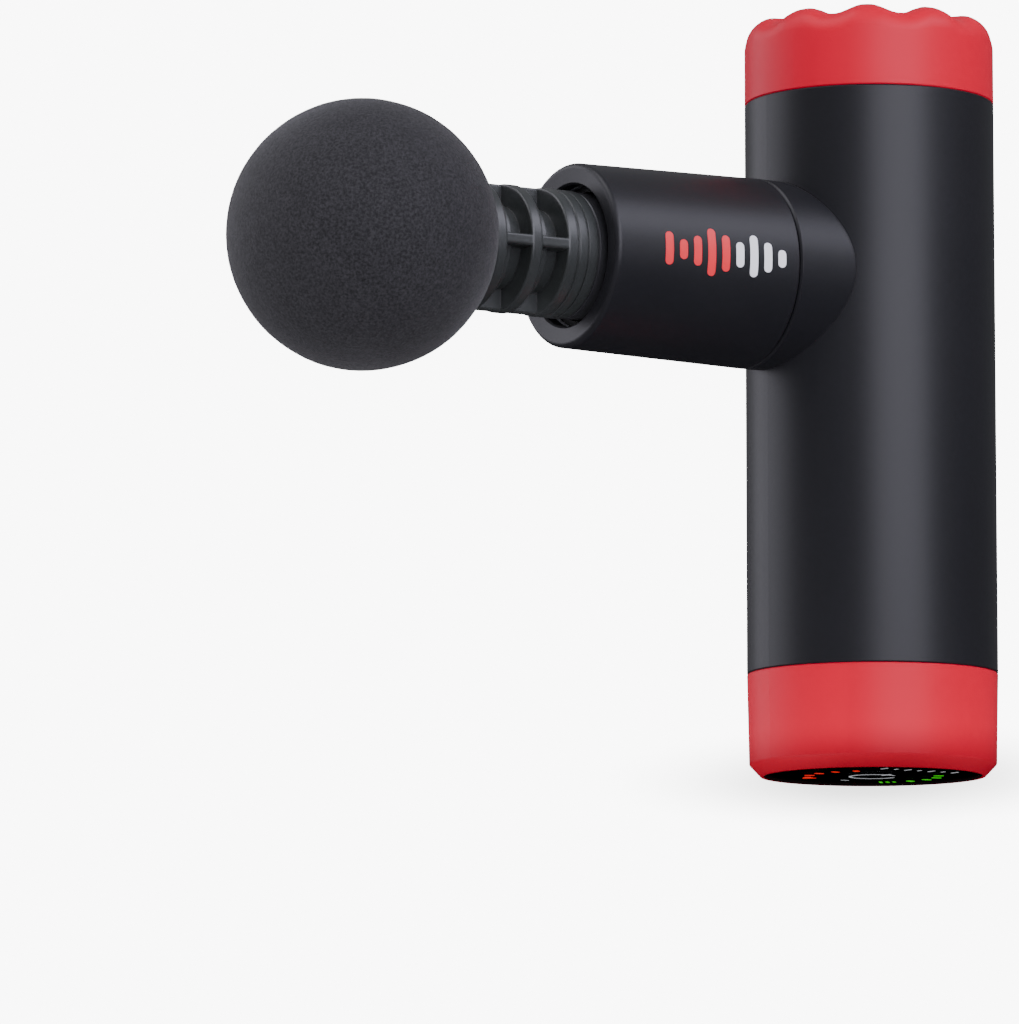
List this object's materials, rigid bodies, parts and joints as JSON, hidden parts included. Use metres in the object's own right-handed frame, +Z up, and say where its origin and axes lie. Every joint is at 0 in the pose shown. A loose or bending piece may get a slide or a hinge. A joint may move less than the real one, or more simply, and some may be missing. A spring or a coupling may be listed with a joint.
{
  "type": "massage gun",
  "caption": "Hand-held percussion massager: round handle, side barrel with a reciprocating stem and a foam ball, round touch display in the base.",
  "frame": {"origin": "centre of the flat face at the bottom of the handle", "axes": "+Z up the handle's axis, +X along the barrel, the way the head strikes"},
  "size_m": [0.1566, 0.0484, 0.14],
  "materials": {
    "barrel_black": "satin soft-touch black",
    "bearing_steel": "ground steel",
    "black_plastic": "moulded black",
    "board_green": "solder mask",
    "bush_bronze": "sintered bronze",
    "cap_red": "satin soft-touch red",
    "cell_wrap": "shrink film",
    "chip_black": "moulded epoxy",
    "core_steel": "stacked sheet",
    "crank_steel": "machined",
    "display_black": "polished black acrylic",
    "foam_charcoal": "matte closed-cell foam",
    "frame_metal": "die cast",
    "led_green": "moulded lamp",
    "led_red": "moulded lamp",
    "led_white": "moulded lamp",
    "magnet_grey": "nickel plated magnet",
    "piston_metal": "hard anodised",
    "plated_steel": "nickel plated",
    "ribbon_orange": "polyimide film",
    "rubber_black": "moulded rubber",
    "screw_steel": "zinc plated",
    "sleeve_black": "satin black anodised",
    "stem_black": "semi-matte moulded",
    "white_plastic": "matte white",
    "winding_copper": "enamelled copper wire",
    "wire_black": "wire sheath",
    "wire_red": "wire sheath",
    "yoke_steel": "machined"
  },
  "bodies": {
    "handle": {"handle_sleeve": "sleeve_black", "crown_cap": "cap_red", "base_ring": "cap_red", "display_glass": "display_black", "light_baffle": "white_plastic", "display_board": "board_green", "red_leds": "led_red", "green_leds": "led_green", "white_leds": "led_white", "usb_shell": "plated_steel", "usb_tongue": "black_plastic", "battery_holder_lower": "black_plastic", "battery_holder_upper": "black_plastic", "battery_cells": "cell_wrap", "cell_links": "plated_steel", "battery_leads": "wire_red", "main_board": "board_green", "board_chips": "chip_black", "board_inductor": "chip_black", "board_capacitor": "frame_metal", "board_sockets": "white_plastic", "board_screws": "screw_steel", "display_ribbon": "ribbon_orange", "motor_leads": "wire_black", "drive_frame": "frame_metal", "frame_pads": "rubber_black", "motor_plate": "frame_metal", "frame_screws": "screw_steel", "guide_housing": "frame_metal", "guide_bushes": "bush_bronze", "dust_seal": "rubber_black", "saddle_collar": "barrel_black", "barrel_sleeve": "barrel_black", "motor_mount": "frame_metal", "motor_screws": "screw_steel", "stator_core": "core_steel", "stator_windings": "winding_copper", "bearing_outer_races": "bearing_steel", "bearing_balls": "bearing_steel"},
    "rotor": {"bearing_inner_races": "bearing_steel", "motor_bell": "core_steel", "motor_magnets": "magnet_grey", "motor_shaft": "crank_steel", "crank_wheel": "crank_steel", "crank_pin": "crank_steel", "crank_bearing_races": "bearing_steel", "crank_bearing_balls": "bearing_steel", "pin_clip": "plated_steel"},
    "piston": {"yoke": "yoke_steel", "piston": "piston_metal", "piston_screw": "screw_steel"},
    "head": {"head_stem": "stem_black", "shank_oring": "rubber_black", "foam_ball": "foam_charcoal"}
  },
  "joints": [
    {"name": "crank_turn", "type": "hinge", "parent": "handle", "child": "rotor", "pos_m": [0, 0, 0.0985], "axis": [0, 0, 1], "range_deg": [-90, 90]},
    {"name": "piston_stroke", "type": "slide", "parent": "handle", "child": "piston", "axis": [1, 0, 0], "range_m": [-0.0035, 0.0035]},
    {"name": "head_release", "type": "slide", "parent": "piston", "child": "head", "axis": [1, 0, 0], "range_m": [0, 0.03]}
  ],
  "couplings": [
    {"joint": "piston_stroke", "follows": "crank_turn", "m_per_rad": 0.002228}
  ]
}
